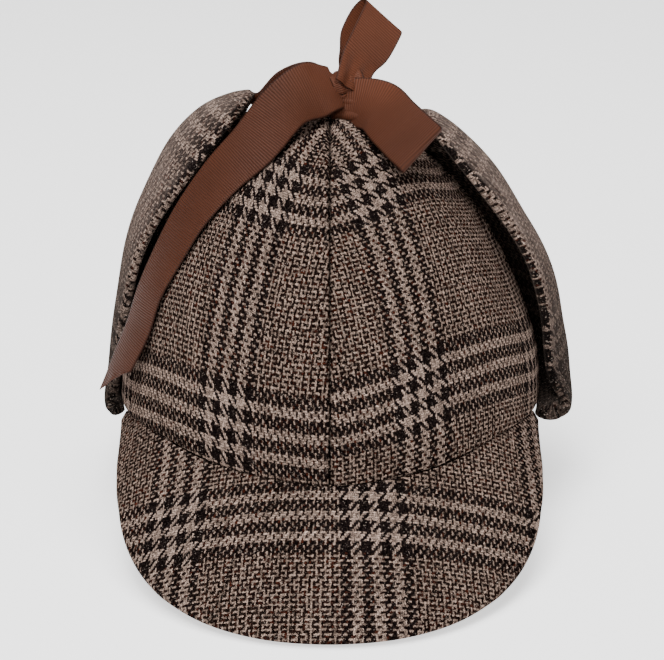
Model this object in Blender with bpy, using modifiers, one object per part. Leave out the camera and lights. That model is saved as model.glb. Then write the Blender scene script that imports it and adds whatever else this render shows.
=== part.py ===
"""A deerstalker hat: four crown panels, two peaks, two ear flaps folded up, and a ribbon bow.

Metres, +Z up. The front of the hat faces -Y. Left and right are as seen from the front.
Azimuth 0 is the front of the crown, 90 degrees its +X side and 180 degrees its back.
Rise 0 is the crown's lower rim and 90 degrees its apex.
"""

import math
from collections import namedtuple

import bmesh
import bpy
from mathutils import Vector

# Crown
CROWN_HALF_WIDTH = 0.089
CROWN_FRONT = 0.100
CROWN_BACK = 0.092
CROWN_HEIGHT = 0.121
CROWN_WALL = 0.0025
CROWN_PLAN_POWER = 1.9
CROWN_PROFILE_POWER = 1.8
CROWN_SEGMENTS = 40
CROWN_RINGS = 12
RIM_WAVE = 0.005
PANEL_GAP = 0.0003

# Edges that turn by more than this many degrees are rounded, or shaded sharp
EDGE_ANGLE = 50.0

# Peaks
PEAK_REACH = 0.0665
PEAK_THICKNESS = 0.0034
PEAK_LIP = 0.0012
PEAK_SEAM_GAP = 0.0005
PEAK_HALF_SPAN = 74.0
PEAK_EDGE_ROUND = 0.0010
PEAK_BULGE = 0.002
PEAK_COLUMNS = 30
PEAK_ROWS = 5

# Ear flaps
FLAP_THICKNESS = 0.0045
FLAP_SEAM_GAP = 0.0003
LEFT_FLAP_DROP = 0.0010
RIGHT_FLAP_DROP = 0.0045
FLAP_BACK_LIFT = 0.011
FLAP_EDGE_ROUND = 0.0014
FLAP_COLUMNS = 9
FLAP_ARCH = 0.0125
LEFT_FLAP_FOLD = 0.0028
RIGHT_FLAP_FOLD = 0.0095

# Ribbon
RIBBON_WIDTH = 0.024
RIBBON_THICKNESS = 0.0010
RIBBON_GAP = 0.0004
KNOT_HALF_WIDTH = 0.0080
KNOT_HALF_DEPTH = 0.0060
KNOT_HALF_HEIGHT = 0.0075
KNOT_SEGMENTS = 12
KNOT_RINGS = 8
STRIP_COLUMNS = 3
TAIL_SLANT = 0.6
TIE_WIDTH = 0.008
TIE_GAP = 0.0007
TIE_SLEEVE = 0.003

# The knot's centre, as shares of the crown's half width, front length and height
KNOT_PLACE = (0.075, 0.075, 1.095)

# Height of the rim's wave, as a share of RIM_WAVE, at each azimuth
RimRow = namedtuple("RimRow", "azimuth lift")
RIM_ROWS = (
    RimRow(0, 0.0),
    RimRow(25, 0.45),
    RimRow(50, 1.0),
    RimRow(78, 0.15),
    RimRow(100, 0.0),
    RimRow(180, 0.0),
)

# Outer edge of a peak. The azimuth is a share of PEAK_HALF_SPAN, counted from the peak's middle.
# Reach and drop are how far the edge lies out from the rim and below it, as shares of PEAK_REACH.
PeakRow = namedtuple("PeakRow", "azimuth reach drop")
PEAK_ROWS_TABLE = (
    PeakRow(0.00, 0.790, 0.616),
    PeakRow(0.12, 0.785, 0.616),
    PeakRow(0.24, 0.735, 0.610),
    PeakRow(0.36, 0.645, 0.585),
    PeakRow(0.45, 0.560, 0.545),
    PeakRow(0.54, 0.465, 0.480),
    PeakRow(0.63, 0.355, 0.390),
    PeakRow(0.75, 0.225, 0.280),
    PeakRow(0.88, 0.105, 0.160),
    PeakRow(1.00, 0.040, 0.070),
)

# Sections of an ear flap's fold under the rim. The two edges' azimuths are degrees. Standoff is a
# share of the flap's own fold depth, drop a share of its drop.
FoldRow = namedtuple("FoldRow", "front back standoff drop")
FLAP_FOLD_ROWS = (
    FoldRow(87, 117, 0.00, 0.60),
    FoldRow(84, 121, 0.32, 1.00),
    FoldRow(83, 123, 0.72, 0.90),
    FoldRow(82, 124, 1.00, 0.10),
)

# Sections of an ear flap from the fold to its tip: its front and back edges, as shares of the
# crown's half width, front length and height. Out and up are how far its middle arches away from
# the straight line between them, as shares of FLAP_ARCH.
FlapRow = namedtuple("FlapRow", "front_x front_y front_z back_x back_y back_z out up")
LEFT_FLAP_ROWS = (
    FlapRow(1.015, -0.115, 0.080, 0.905, 0.510, 0.150, 0.50, 0.00),
    FlapRow(0.955, -0.130, 0.330, 0.820, 0.480, 0.330, 0.72, 0.00),
    FlapRow(0.895, -0.140, 0.510, 0.735, 0.450, 0.500, 0.88, 0.20),
    FlapRow(0.795, -0.140, 0.667, 0.655, 0.410, 0.620, 0.92, 0.60),
    FlapRow(0.620, -0.120, 0.840, 0.565, 0.350, 0.740, 1.10, 0.85),
    FlapRow(0.465, -0.080, 0.985, 0.460, 0.265, 0.870, 1.00, 0.65),
    FlapRow(0.370, -0.010, 1.065, 0.400, 0.180, 0.970, 0.55, 0.30),
    FlapRow(0.350, 0.030, 1.085, 0.370, 0.120, 1.035, 0.00, 0.00),
)
RIGHT_FLAP_ROWS = (
    FlapRow(1.040, -0.110, 0.100, 0.940, 0.510, 0.150, 0.98, 0.00),
    FlapRow(1.000, -0.120, 0.320, 0.860, 0.480, 0.330, 1.02, 0.00),
    FlapRow(0.930, -0.140, 0.510, 0.775, 0.450, 0.500, 1.00, 0.05),
    FlapRow(0.830, -0.150, 0.644, 0.695, 0.410, 0.620, 0.96, 0.20),
    FlapRow(0.675, -0.150, 0.795, 0.585, 0.350, 0.740, 1.04, 0.38),
    FlapRow(0.515, -0.110, 0.935, 0.455, 0.260, 0.860, 1.05, 0.32),
    FlapRow(0.450, -0.030, 0.995, 0.415, 0.170, 0.940, 0.66, 0.24),
    FlapRow(0.440, 0.020, 1.015, 0.420, 0.110, 0.985, 0.00, 0.00),
)

# Sections of a ribbon. x, y and z are shares of the crown's half width, front length and height.
# Turn and tilt give the direction across the ribbon in degrees, width a share of RIBBON_WIDTH.
StripRow = namedtuple("StripRow", "x y z turn tilt width")
TAIL_LEFT_ROWS = (
    StripRow(-0.065, -0.020, 1.135, 172, 42, 0.70),
    StripRow(-0.200, -0.120, 1.075, 160, 35, 0.90),
    StripRow(-0.345, -0.195, 0.960, 148, 22, 0.92),
    StripRow(-0.490, -0.235, 0.860, 138, 10, 0.92),
    StripRow(-0.630, -0.270, 0.735, 128, 4, 0.92),
    StripRow(-0.735, -0.300, 0.605, 124, 0, 0.92),
    StripRow(-0.825, -0.320, 0.475, 120, -6, 0.92),
    StripRow(-0.885, -0.345, 0.345, 121, -10, 0.92),
    StripRow(-0.960, -0.365, 0.225, 121, -16, 0.92),
    StripRow(-1.000, -0.385, 0.165, 121, -22, 0.80),
)
TAIL_BACK_ROWS = (
    StripRow(0.080, 0.280, 1.050, 10, -4, 0.80),
    StripRow(0.130, 0.420, 0.985, 12, -6, 1.00),
    StripRow(0.195, 0.580, 0.860, 14, -8, 1.00),
    StripRow(0.250, 0.700, 0.715, 16, -8, 1.00),
    StripRow(0.295, 0.790, 0.560, 18, -8, 1.00),
    StripRow(0.330, 0.850, 0.400, 20, -8, 1.00),
)
TIE_LEFT_ROWS = (
    StripRow(-0.230, 0.130, 1.125, 90, -20, 0.38),
    StripRow(-0.095, 0.205, 1.140, 90, -20, 0.38),
)
TIE_RIGHT_ROWS = (
    StripRow(0.330, 0.095, 1.050, 90, -20, 0.38),
    StripRow(0.235, 0.100, 1.075, 90, -20, 0.38),
)
LOOP_LOWER_ROWS = (
    StripRow(0.220, -0.090, 1.100, 26, 34, 0.80),
    StripRow(0.290, -0.195, 1.072, 24, 41, 0.97),
    StripRow(0.360, -0.285, 1.015, 24, 43, 1.00),
    StripRow(0.405, -0.335, 0.980, 24, 43, 1.00),
    StripRow(0.418, -0.306, 0.960, 24, 43, 1.00),
    StripRow(0.382, -0.235, 0.981, 24, 43, 0.97),
    StripRow(0.312, -0.145, 1.038, 24, 38, 0.88),
    StripRow(0.236, -0.054, 1.072, 24, 32, 0.60),
)

# The standing loop. x, y and z are offsets from the knot's centre as shares of RIBBON_WIDTH.
LOOP_UPPER_ROWS = (
    StripRow(0.211, 0.042, 0.416, 32, -42, 0.80),
    StripRow(0.411, 0.193, 0.677, 32, -42, 0.96),
    StripRow(0.592, 0.423, 0.964, 32, -42, 1.00),
    StripRow(0.650, 0.535, 1.090, 32, -42, 1.00),
    StripRow(0.557, 0.641, 1.075, 32, -42, 1.00),
    StripRow(0.388, 0.609, 0.887, 32, -42, 1.00),
    StripRow(0.196, 0.394, 0.597, 32, -42, 0.92),
    StripRow(0.103, 0.170, 0.391, 32, -42, 0.68),
)

# Where each ribbon leaves the knot: its direction across in degrees, and its width as a share of
# RIBBON_WIDTH
KnotExit = namedtuple("KnotExit", "turn tilt width")
TAIL_LEFT_EXIT = KnotExit(170, 45, 0.50)
TAIL_BACK_EXIT = KnotExit(8, -2, 0.40)
LOOP_LOWER_EXITS = (KnotExit(25, 32, 0.45), KnotExit(25, 30, 0.40))
LOOP_UPPER_EXIT = KnotExit(32, -42, 0.45)
TIE_EXIT = KnotExit(90, -20, 0.33)

TWEED_COLOUR = (0.085, 0.062, 0.052, 1.0)
RIBBON_COLOUR = (0.110, 0.038, 0.022, 1.0)


def between(rows, column, at, value):
    """The value column of a table, read smoothly at a place of its first column."""
    places = [getattr(row, column) for row in rows]
    values = [getattr(row, value) for row in rows]
    at = min(max(at, places[0]), places[-1])
    index = max(i for i in range(len(places) - 1) if places[i] <= at)
    span = places[index + 1] - places[index]
    share = (at - places[index]) / span
    before = values[max(index - 1, 0)]
    after = values[min(index + 2, len(values) - 1)]
    return blend(before, values[index], values[index + 1], after, share)


def blend(before, start, end, after, share):
    """A Catmull-Rom curve through start and end, for numbers or vectors."""
    slope_in = (end - before) * 0.5
    slope_out = (after - start) * 0.5
    square = share * share
    cube = square * share
    return (
        start * (2 * cube - 3 * square + 1)
        + slope_in * (cube - 2 * square + share)
        + end * (3 * square - 2 * cube)
        + slope_out * (cube - square)
    )


def rim_lift(azimuth):
    """How far the rim stands above its lowest point."""
    turned = abs((azimuth + 180.0) % 360.0 - 180.0)
    return RIM_WAVE * between(RIM_ROWS, "azimuth", turned, "lift")


def plan_point(azimuth, grow=0.0):
    """A point of the crown's egg-shaped plan, grown outward by a distance."""
    side = math.sin(math.radians(azimuth))
    ahead = math.cos(math.radians(azimuth))
    half_width = CROWN_HALF_WIDTH + grow
    half_length = (CROWN_FRONT if ahead > 0 else CROWN_BACK) + grow
    power = CROWN_PLAN_POWER
    size = abs(side / half_width) ** power + abs(ahead / half_length) ** power
    radius = size ** (-1.0 / power)
    return Vector((side * radius, -ahead * radius, 0.0))


def plan_outward(azimuth):
    """The horizontal direction square to the crown's plan."""
    step = 0.05
    along = plan_point(azimuth + step) - plan_point(azimuth - step)
    return Vector((along.y, -along.x, 0.0)).normalized()


def dome_point(azimuth, rise, grow=0.0):
    """A point of the crown's outer surface, or of one grown outward by a distance."""
    out = max(math.cos(math.radians(rise)), 0.0) ** (2.0 / CROWN_PROFILE_POWER)
    up = max(math.sin(math.radians(rise)), 0.0) ** (2.0 / CROWN_PROFILE_POWER)
    point = plan_point(azimuth, grow) * out
    point.z = (CROWN_HEIGHT + grow) * up + rim_lift(azimuth) * (1.0 - up)
    return point


def make_material(name, colour, roughness):
    """A plain cloth material."""
    material = bpy.data.materials.new(name)
    material.use_nodes = True
    shader = material.node_tree.nodes["Principled BSDF"]
    shader.inputs["Base Color"].default_value = colour
    shader.inputs["Roughness"].default_value = roughness
    shader.inputs["Metallic"].default_value = 0.0
    material.diffuse_color = colour
    return material


def new_object(name, mesh, collection, material=None):
    """Link a mesh as a named object."""
    thing = bpy.data.objects.new(name, mesh)
    collection.objects.link(thing)
    if material is not None:
        mesh.materials.append(material)
    return thing


def grid_mesh(name, rows):
    """An open surface through rows of points, each row as long as the others."""
    columns = len(rows[0])
    bm = bmesh.new()
    bmesh.ops.create_grid(bm, x_segments=columns - 1, y_segments=len(rows) - 1, size=1.0)
    bm.verts.ensure_lookup_table()
    for index, vert in enumerate(bm.verts):
        vert.co = rows[index // columns][index % columns]
    mesh = bpy.data.meshes.new(name)
    bm.to_mesh(mesh)
    bm.free()
    return mesh


def add_solidify(thing, thickness, offset):
    """Give an open surface its thickness."""
    modifier = thing.modifiers.new("thickness", "SOLIDIFY")
    modifier.thickness = thickness
    modifier.offset = offset
    modifier.use_even_offset = True


def add_round_edges(thing, width, segments=2):
    """Round the cut edges of a sheet."""
    modifier = thing.modifiers.new("round edges", "BEVEL")
    modifier.width = width
    modifier.segments = segments
    modifier.limit_method = "ANGLE"
    modifier.angle_limit = math.radians(EDGE_ANGLE)


def smooth(thing):
    """Shade smoothly, with the cut edges sharp."""
    thing.data.shade_smooth()
    thing.data.set_sharp_from_angle(angle=math.radians(EDGE_ANGLE))


def crown_surface(name):
    """The crown's outer surface as an open dome."""
    bm = bmesh.new()
    rings = CROWN_RINGS * 2
    bmesh.ops.create_uvsphere(bm, u_segments=CROWN_SEGMENTS, v_segments=rings, radius=1.0)
    below = [vert for vert in bm.verts if vert.co.z < -1e-4]
    bmesh.ops.delete(bm, geom=below, context="VERTS")
    half_step = 180.0 / CROWN_SEGMENTS
    for vert in bm.verts:
        azimuth = math.degrees(math.atan2(vert.co.x, -vert.co.y)) + half_step
        rise = math.degrees(math.asin(min(max(vert.co.z, 0.0), 1.0)))
        vert.co = dome_point(azimuth, rise)
    mesh = bpy.data.meshes.new(name)
    bm.to_mesh(mesh)
    bm.free()
    return mesh


def make_crown(parts, cutters, material):
    """Four panels, each a quarter of the hollow dome."""
    quarters = (
        ("crown_front_left", -1, -1),
        ("crown_front_right", 1, -1),
        ("crown_back_left", -1, 1),
        ("crown_back_right", 1, 1),
    )
    size = (CROWN_FRONT + CROWN_HEIGHT) * 2.0
    for name, side, depth in quarters:
        panel = new_object(name, crown_surface(name), parts, material)
        add_solidify(panel, CROWN_WALL, -1.0)
        bpy.ops.mesh.primitive_cube_add(size=size)
        cutter = bpy.context.active_object
        cutter.name = name + "_quarter"
        for owner in list(cutter.users_collection):
            owner.objects.unlink(cutter)
        cutters.objects.link(cutter)
        shift = (size + PANEL_GAP) * 0.5
        cutter.location = (side * shift, depth * shift, 0.0)
        cutter.hide_render = True
        cutter.display_type = "WIRE"
        modifier = panel.modifiers.new("quarter", "BOOLEAN")
        modifier.operation = "INTERSECT"
        modifier.solver = "EXACT"
        modifier.object = cutter
        smooth(panel)


def peak_row(share, middle):
    """Points across a peak's top face, from the lip under the rim to the outer edge."""
    turned = middle + share * PEAK_HALF_SPAN
    out = plan_outward(turned)
    seam = plan_point(turned)
    seam.z = rim_lift(turned) - PEAK_SEAM_GAP
    reach = PEAK_REACH * between(PEAK_ROWS_TABLE, "azimuth", abs(share), "reach")
    drop = PEAK_REACH * between(PEAK_ROWS_TABLE, "azimuth", abs(share), "drop")
    points = [seam - out * PEAK_LIP, seam]
    for row in range(1, PEAK_ROWS + 1):
        part = row / PEAK_ROWS
        bulge = math.sin(math.pi * part) * PEAK_BULGE * (1.0 - abs(share))
        points.append(seam + out * reach * part + Vector((0, 0, bulge - drop * part)))
    return points


def make_peak(name, middle, parts, material):
    """A stiffened peak sewn under the rim, curved round the crown and drooping."""
    rows = []
    for column in range(PEAK_COLUMNS + 1):
        share = 2.0 * column / PEAK_COLUMNS - 1.0
        rows.append(peak_row(share, middle))
    peak = new_object(name, grid_mesh(name, rows), parts, material)
    add_solidify(peak, PEAK_THICKNESS, -1.0)
    add_round_edges(peak, PEAK_EDGE_ROUND)
    smooth(peak)


def scaled(shares, side=1.0):
    """A place given as shares of the crown's half width, front length and height."""
    x, y, z = shares
    return Vector((side * x * CROWN_HALF_WIDTH, y * CROWN_FRONT, z * CROWN_HEIGHT))


def fold_point(row, share, side, fold, drop):
    """A point of a flap's fold, from beside the rim out and up. Share runs front to back."""
    nearest = FLAP_THICKNESS * 0.5 + FLAP_SEAM_GAP
    azimuth = row.front + (row.back - row.front) * share
    point = dome_point(side * azimuth, 0.0, nearest + fold * row.standoff)
    point.z += FLAP_BACK_LIFT * share * share - drop * row.drop
    return point


def flap_point(row, share, side):
    """A point of a flap's middle surface above its fold. Share runs front to back."""
    front = scaled((row.front_x, row.front_y, row.front_z), side)
    back = scaled((row.back_x, row.back_y, row.back_z), side)
    point = front.lerp(back, share)
    arch = FLAP_ARCH * 4.0 * share * (1.0 - share)
    point.x += side * arch * row.out
    point.z += arch * row.up
    return point


def make_flap(name, side, table, fold, drop, parts, material):
    """A padded ear flap: folded at the rim and standing up against the crown."""
    shares = [column / FLAP_COLUMNS for column in range(FLAP_COLUMNS + 1)]
    if side > 0:
        shares.reverse()
    rows = [[fold_point(row, share, side, fold, drop) for share in shares] for row in FLAP_FOLD_ROWS]
    rows += [[flap_point(row, share, side) for share in shares] for row in table]
    flap = new_object(name, grid_mesh(name, rows), parts, material)
    add_solidify(flap, FLAP_THICKNESS, 0.0)
    add_round_edges(flap, FLAP_EDGE_ROUND)
    smooth(flap)


def knot_centre():
    """Where the knot sits above the crown."""
    return scaled(KNOT_PLACE)


def knot_surface(direction, clearance):
    """The point at a clearance outside the knot, in a direction from its centre."""
    toward = direction.normalized()
    x, y, z = toward
    stretched = Vector((x / KNOT_HALF_WIDTH, y / KNOT_HALF_DEPTH, z / KNOT_HALF_HEIGHT))
    return knot_centre() + toward * (1.0 / stretched.length + clearance)


def across(turn, tilt):
    """A unit vector from its turn about Z and its tilt above the horizontal, in degrees."""
    level = math.cos(math.radians(tilt))
    return Vector(
        (
            level * math.cos(math.radians(turn)),
            level * math.sin(math.radians(turn)),
            math.sin(math.radians(tilt)),
        )
    )


def crown_station(row):
    """A ribbon section placed by shares of the crown's sizes."""
    return scaled((row.x, row.y, row.z)), across(row.turn, row.tilt), row.width * RIBBON_WIDTH


def knot_station(row):
    """A ribbon section placed by shares of the ribbon's width, from the knot's centre."""
    place = knot_centre() + Vector((row.x, row.y, row.z)) * RIBBON_WIDTH
    return place, across(row.turn, row.tilt), row.width * RIBBON_WIDTH


def square_to(side, along):
    """The part of a direction that is square to another, as a unit vector."""
    along = along.normalized()
    return (side - along * side.dot(along)).normalized()


def make_strip(name, stations, parts, material, steps=2, slant=0.0):
    """A flat ribbon through its sections, each a place, a direction across and a width.

    Slant is how far the last edge leans along the ribbon, as a share of its half width.
    """
    sections = []
    last = len(stations) - 1
    for index in range(last):
        around = [stations[min(max(index + k, 0), last)] for k in (-1, 0, 1, 2)]
        for step in range(steps if index < last - 1 else steps + 1):
            share = step / steps
            sections.append([blend(*[item[k] for item in around], share) for k in range(3)])
    cells = [2.0 * column / (STRIP_COLUMNS - 1) - 1.0 for column in range(STRIP_COLUMNS)]
    rows = []
    for index, (place, side, width) in enumerate(sections):
        ahead = sections[min(index + 1, len(sections) - 1)][0]
        behind = sections[max(index - 1, 0)][0]
        along = (ahead - behind).normalized()
        if 0 < index < len(sections) - 1:
            side = square_to(side, along)
        half = side.normalized() * width * 0.5
        if index == len(sections) - 1:
            half += along * width * 0.5 * slant
        rows.append([place + half * cell for cell in cells])
    strip = new_object(name, grid_mesh(name, rows), parts, material)
    add_solidify(strip, RIBBON_THICKNESS, 0.0)
    smooth(strip)


def from_knot(toward, leaving):
    """The section of a ribbon where it leaves the knot on its way toward a place."""
    way = toward - knot_centre()
    side = square_to(across(leaving.turn, leaving.tilt), way)
    return knot_surface(way, RIBBON_GAP), side, leaving.width * RIBBON_WIDTH


def flap_tip_stations(table, side):
    """Where a tie comes out of the seam at its flap's tip, and just past it."""
    below, tip = [flap_point(row, 0.5, side) for row in table[-2:]]
    over = flap_point(table[-1], 1.0, side) - flap_point(table[-1], 0.0, side)
    along = square_to(tip - below, over)
    return [(tip + along * distance, over.normalized(), TIE_WIDTH) for distance in (TIE_GAP, TIE_SLEEVE)]


def make_bow(parts, material):
    """The knot, its two loops, the two tails and the two ties from the flaps."""
    bm = bmesh.new()
    bmesh.ops.create_uvsphere(bm, u_segments=KNOT_SEGMENTS, v_segments=KNOT_RINGS, radius=1.0)
    for vert in bm.verts:
        vert.co.x *= KNOT_HALF_WIDTH
        vert.co.y *= KNOT_HALF_DEPTH
        vert.co.z *= KNOT_HALF_HEIGHT
        vert.co += knot_centre()
    mesh = bpy.data.meshes.new("bow_knot")
    bm.to_mesh(mesh)
    bm.free()
    smooth(new_object("bow_knot", mesh, parts, material))

    tail = [crown_station(row) for row in TAIL_LEFT_ROWS]
    tail.insert(0, from_knot(tail[0][0], TAIL_LEFT_EXIT))
    make_strip("tail_left", tail, parts, material, slant=TAIL_SLANT)

    tail = [crown_station(row) for row in TAIL_BACK_ROWS]
    tail.insert(0, from_knot(tail[0][0], TAIL_BACK_EXIT))
    make_strip("tail_back", tail, parts, material)

    loop = [crown_station(row) for row in LOOP_LOWER_ROWS]
    loop.insert(0, from_knot(loop[0][0], LOOP_LOWER_EXITS[0]))
    loop.append(from_knot(loop[-1][0], LOOP_LOWER_EXITS[1]))
    make_strip("bow_loop_lower", loop, parts, material)

    loop = [knot_station(row) for row in LOOP_UPPER_ROWS]
    loop.insert(0, from_knot(loop[0][0], LOOP_UPPER_EXIT))
    loop.append(from_knot(loop[-1][0], LOOP_UPPER_EXIT))
    make_strip("bow_loop_upper", loop, parts, material)

    for name, side, table, over in (
        ("tie_left", -1, LEFT_FLAP_ROWS, TIE_LEFT_ROWS),
        ("tie_right", 1, RIGHT_FLAP_ROWS, TIE_RIGHT_ROWS),
    ):
        stations = flap_tip_stations(table, side) + [crown_station(row) for row in over]
        stations.append(from_knot(stations[-1][0], TIE_EXIT))
        make_strip(name, stations, parts, material)


def clear_scene():
    """Remove what the scene holds."""
    for thing in list(bpy.data.objects):
        bpy.data.objects.remove(thing, do_unlink=True)


def stand_on_floor(collection):
    """Move everything so that the model's box has its bottom centre at the origin."""
    depsgraph = bpy.context.evaluated_depsgraph_get()
    corners = []
    for thing in collection.objects:
        evaluated = thing.evaluated_get(depsgraph)
        mesh = evaluated.to_mesh()
        corners += [thing.matrix_world @ vert.co for vert in mesh.vertices]
        evaluated.to_mesh_clear()
    low = Vector([min(corner[axis] for corner in corners) for axis in range(3)])
    high = Vector([max(corner[axis] for corner in corners) for axis in range(3)])
    shift = Vector((-(low.x + high.x) * 0.5, -(low.y + high.y) * 0.5, -low.z))
    frame = bpy.data.objects.new("deerstalker_frame", None)
    collection.objects.link(frame)
    frame.location = shift
    return frame


def main():
    clear_scene()
    scene = bpy.context.scene
    parts = bpy.data.collections.new("deerstalker_hat")
    cutters = bpy.data.collections.new("cutters")
    scene.collection.children.link(parts)
    scene.collection.children.link(cutters)
    tweed = make_material("tweed", TWEED_COLOUR, 0.95)
    ribbon = make_material("ribbon", RIBBON_COLOUR, 0.55)

    make_crown(parts, cutters, tweed)
    make_peak("front_peak", 0.0, parts, tweed)
    make_peak("back_peak", 180.0, parts, tweed)
    make_flap("left_ear_flap", -1, LEFT_FLAP_ROWS, LEFT_FLAP_FOLD, LEFT_FLAP_DROP, parts, tweed)
    make_flap("right_ear_flap", 1, RIGHT_FLAP_ROWS, RIGHT_FLAP_FOLD, RIGHT_FLAP_DROP, parts, tweed)
    make_bow(parts, ribbon)

    bpy.context.view_layer.update()
    pieces = [thing for thing in parts.objects if thing.type == "MESH"]
    frame = stand_on_floor(parts)
    for thing in pieces + list(cutters.objects):
        thing.parent = frame


main()
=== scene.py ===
"""Looks of the deerstalker hat: tweed panels, peaks and padded flaps, and a ribbon bow."""

import math
from collections import namedtuple

import bpy
import numpy as np
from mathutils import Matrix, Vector


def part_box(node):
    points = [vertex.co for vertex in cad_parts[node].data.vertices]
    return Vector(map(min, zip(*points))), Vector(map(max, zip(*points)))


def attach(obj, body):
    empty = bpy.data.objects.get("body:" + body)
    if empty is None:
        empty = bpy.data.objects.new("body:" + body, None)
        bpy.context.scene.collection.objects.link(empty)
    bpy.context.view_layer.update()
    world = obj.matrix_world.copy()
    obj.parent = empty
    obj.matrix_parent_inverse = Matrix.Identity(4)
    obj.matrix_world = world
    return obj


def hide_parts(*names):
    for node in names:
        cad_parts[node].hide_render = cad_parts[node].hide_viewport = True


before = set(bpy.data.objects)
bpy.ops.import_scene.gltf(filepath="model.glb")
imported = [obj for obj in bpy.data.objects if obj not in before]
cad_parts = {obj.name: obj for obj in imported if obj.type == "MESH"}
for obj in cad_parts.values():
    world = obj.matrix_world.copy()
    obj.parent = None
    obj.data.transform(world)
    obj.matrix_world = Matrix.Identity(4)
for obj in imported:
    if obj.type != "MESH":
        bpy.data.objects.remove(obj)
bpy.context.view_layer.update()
BODY = "root"
MM = 0.001

# sizes in metres, as the solids have them, apart from the peaks' lip and seam gap, the ribbon's
# thickness and some rows of the tables, which follow the photograph more closely
CROWN_HALF_WIDTH = 0.089
CROWN_FRONT = 0.100
CROWN_BACK = 0.092
CROWN_HEIGHT = 0.121
CROWN_WALL = 0.0025
PLAN_POWER = 1.9
PROFILE_POWER = 1.8
RIM_WAVE = 0.005
PEAK_REACH = 0.0665
PEAK_THICKNESS = 0.0034
PEAK_LIP = 0.0024
PEAK_SEAM_GAP = 0.0001
PEAK_HALF_SPAN = 74.0
PEAK_BULGE = 0.002
FLAP_THICKNESS = 0.0045
FLAP_SEAM_GAP = 0.0003
FLAP_BACK_LIFT = 0.011
FLAP_ARCH = 0.0125
RIBBON_WIDTH = 0.024
RIBBON_THICKNESS = 0.0007
KNOT_PLACE = (0.075, 0.075, 1.095)
KNOT_HALF = (0.0080, 0.0060, 0.0075)

# azimuth in degrees from the front, lift as a share of RIM_WAVE
RIM_ROWS = ((0, 0.0), (25, 0.45), (50, 1.0), (78, 0.15), (100, 0.0), (180, 0.0))
# azimuth as a share of the half span, reach and drop as shares of PEAK_REACH
PEAK_ROWS = (
    (0.00, 0.790, 0.616), (0.12, 0.785, 0.616), (0.24, 0.735, 0.610), (0.36, 0.645, 0.585),
    (0.45, 0.560, 0.545), (0.54, 0.465, 0.480), (0.63, 0.355, 0.390), (0.75, 0.225, 0.280),
    (0.88, 0.105, 0.160), (1.00, 0.040, 0.070),
)
# how far the fold's first row is tucked in under the rim
FOLD_TUCK = 3.2 * MM
# front and back azimuth, standoff as a share of the flap's fold, or of FOLD_TUCK where it is
# below 0, and drop as a share of the flap's drop
FOLD_ROWS = (
    (78, 117, -1.00, 0.70), (77, 121, 0.22, 0.96), (78, 123, 0.68, 0.84), (80.5, 124, 1.00, 0.10),
)
# front edge x y z and back edge x y z as shares of the crown's half width, front and height,
# then how far the middle arches out and up, as shares of FLAP_ARCH
FLAPS = {
    -1: {
        "fold": 0.0028, "drop": 0.0028,
        "rows": (
            (1.015, -0.115, 0.080, 0.905, 0.510, 0.150, 0.50, 0.00),
            (0.955, -0.130, 0.330, 0.820, 0.480, 0.330, 0.72, 0.00),
            (0.895, -0.140, 0.510, 0.735, 0.450, 0.500, 0.88, 0.20),
            (0.795, -0.140, 0.667, 0.655, 0.410, 0.620, 0.92, 0.60),
            (0.620, -0.120, 0.840, 0.565, 0.350, 0.740, 1.10, 0.85),
            (0.465, -0.080, 0.985, 0.460, 0.265, 0.870, 1.00, 0.65),
            (0.370, -0.010, 1.065, 0.400, 0.180, 0.970, 0.55, 0.30),
            (0.350, 0.030, 1.085, 0.370, 0.120, 1.035, 0.00, 0.00),
        ),
    },
    1: {
        "fold": 0.0095, "drop": 0.0045,
        "rows": (
            (1.040, -0.110, 0.100, 0.940, 0.510, 0.150, 0.98, 0.00),
            (1.000, -0.120, 0.320, 0.860, 0.480, 0.330, 1.02, 0.00),
            (0.930, -0.140, 0.510, 0.740, 0.450, 0.500, 1.00, 0.05),
            (0.830, -0.150, 0.644, 0.645, 0.410, 0.620, 0.96, 0.20),
            (0.675, -0.150, 0.795, 0.515, 0.350, 0.740, 1.04, 0.38),
            (0.515, -0.110, 0.935, 0.370, 0.260, 0.860, 1.05, 0.32),
            (0.450, -0.030, 0.995, 0.305, 0.170, 0.940, 0.66, 0.24),
            (0.440, 0.020, 1.015, 0.370, 0.110, 0.985, 0.00, 0.00),
        ),
    },
}
# x y z as shares of the crown's half width, front and height, turn and tilt of the direction
# across in degrees, width as a share of RIBBON_WIDTH
TAIL_LEFT = (
    (-0.070, -0.045, 1.112, 172, 44, 1.02), (-0.200, -0.120, 1.075, 160, 35, 0.90),
    (-0.345, -0.195, 0.960, 148, 22, 0.92), (-0.490, -0.235, 0.860, 138, 10, 0.92),
    (-0.630, -0.270, 0.735, 128, 4, 0.92), (-0.735, -0.300, 0.605, 124, 0, 0.92),
    (-0.825, -0.320, 0.475, 120, -6, 0.92), (-0.885, -0.345, 0.345, 121, -10, 0.92),
    (-0.960, -0.365, 0.225, 121, -16, 0.92), (-1.000, -0.385, 0.165, 121, -22, 0.80),
)
TAIL_BACK = (
    (0.080, 0.280, 1.050, 10, -4, 0.80), (0.130, 0.420, 0.985, 12, -6, 1.00),
    (0.195, 0.580, 0.860, 14, -8, 1.00), (0.250, 0.700, 0.715, 16, -8, 1.00),
    (0.295, 0.790, 0.560, 18, -8, 1.00), (0.330, 0.850, 0.400, 20, -8, 1.00),
)
TIE_LEFT = ((-0.230, 0.130, 1.125, 90, -20, 0.38), (-0.095, 0.205, 1.140, 90, -20, 0.38))
TIE_RIGHT = ((0.330, 0.095, 1.050, 90, -20, 0.38), (0.235, 0.100, 1.075, 90, -20, 0.38))
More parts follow.
